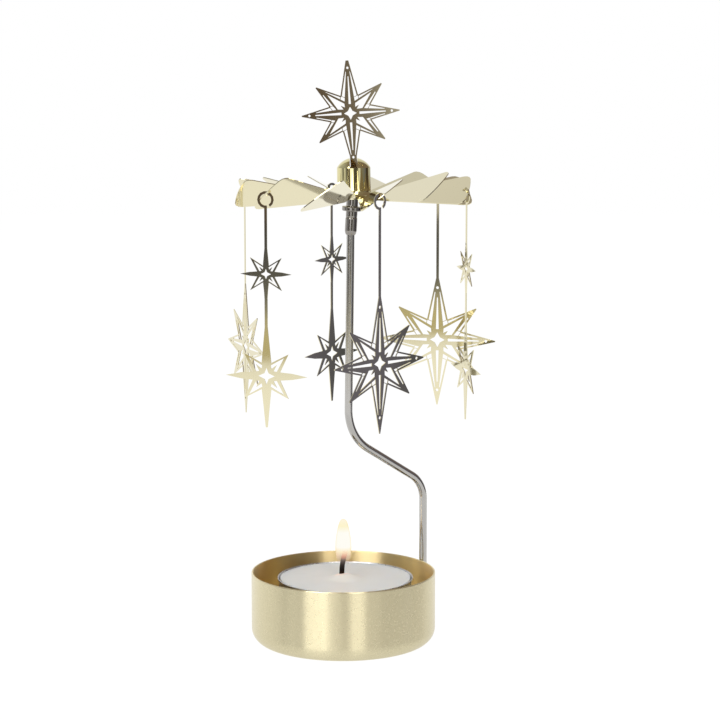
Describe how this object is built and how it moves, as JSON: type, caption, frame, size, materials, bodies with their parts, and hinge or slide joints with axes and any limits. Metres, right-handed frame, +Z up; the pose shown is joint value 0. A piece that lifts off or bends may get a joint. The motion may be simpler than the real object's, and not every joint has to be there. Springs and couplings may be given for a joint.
{
  "type": "candle carousel",
  "caption": "Tealight cup with a bent wire post carrying a bladed rotor that turns on a point, hung with flat openwork stars and topped by a star.",
  "frame": {"origin": "centre of the cup's flat underside", "axes": "+Z up, +X to the right and +Y to the back for someone facing the front; the wire's foot is at the back right"},
  "size_m": [0.0773, 0.0839, 0.1641],
  "materials": {
    "gilded_cup": "polished pale gold plating on drawn steel",
    "gilded_sheet": "polished pale gold plating on thin sheet",
    "gilded_cap": "bright gold plating, mirror polish",
    "bright_steel": "drawn wire, satin",
    "plated_steel": "turned and plated",
    "hard_steel": "ground pin",
    "turned_brass": "turned",
    "foil": "pressed thin sheet",
    "paraffin": "wax, faintly translucent",
    "braided_cotton": "charred braided cotton",
    "tin_plate": "pressed tin plate"
  },
  "bodies": {
    "holder": {"cup": "gilded_cup", "wire_clip": "gilded_cup", "support_wire": "bright_steel", "sleeve": "plated_steel", "pin_holder": "plated_steel", "pivot_pin": "hard_steel"},
    "tealight": {"tealight_shell": "foil", "wax": "paraffin", "wick": "braided_cotton", "wick_foot": "tin_plate"},
    "pivot": {"pivot_seat": "turned_brass"},
    "rotor": {"rotor": "gilded_sheet", "hub_cap": "gilded_cap", "top_star": "gilded_sheet"},
    "single_star_a": {"single_star_a": "gilded_sheet"},
    "double_star_b": {"double_star_b": "gilded_sheet"},
    "single_star_c": {"single_star_c": "gilded_sheet"},
    "double_star_d": {"double_star_d": "gilded_sheet"},
    "single_star_e": {"single_star_e": "gilded_sheet"},
    "double_star_f": {"double_star_f": "gilded_sheet"}
  },
  "joints": [
    {"name": "tealight_lift", "type": "slide", "parent": "holder", "child": "tealight", "axis": [0, 0, 1], "range_m": [0, 0.027]},
    {"name": "rotor_lift", "type": "slide", "parent": "holder", "child": "pivot", "axis": [0, 0, 1], "range_m": [0, 0.012]},
    {"name": "rotor_spin", "type": "hinge", "parent": "pivot", "child": "rotor", "pos_m": [0.00299, 0, 0.13278], "axis": [0, 0, 1], "continuous": true},
    {"name": "single_star_a_swing", "type": "hinge", "parent": "rotor", "child": "single_star_a", "pos_m": [0.01027, -0.03127, 0.12862], "axis": [0.9704, 0.2414, 0], "range_deg": [-18, 5]},
    {"name": "double_star_b_swing", "type": "hinge", "parent": "rotor", "child": "double_star_b", "pos_m": [0.03376, -0.00977, 0.12862], "axis": [0.2835, 0.959, 0], "range_deg": [-18, 5]},
    {"name": "single_star_c_swing", "type": "hinge", "parent": "rotor", "child": "single_star_c", "pos_m": [0.02672, 0.02173, 0.12788], "axis": [-0.6891, 0.7247, 0], "range_deg": [-18, 5]},
    {"name": "double_star_d_swing", "type": "hinge", "parent": "rotor", "child": "double_star_d", "pos_m": [-0.00381, 0.03145, 0.12704], "axis": [-0.9727, -0.2319, 0], "range_deg": [-18, 5]},
    {"name": "single_star_e_swing", "type": "hinge", "parent": "rotor", "child": "single_star_e", "pos_m": [-0.02766, 0.00961, 0.12752], "axis": [-0.281, -0.9597, 0], "range_deg": [-18, 5]},
    {"name": "double_star_f_swing", "type": "hinge", "parent": "rotor", "child": "double_star_f", "pos_m": [-0.02023, -0.02197, 0.12838], "axis": [0.6967, -0.7173, 0], "range_deg": [-18, 5]}
  ]
}
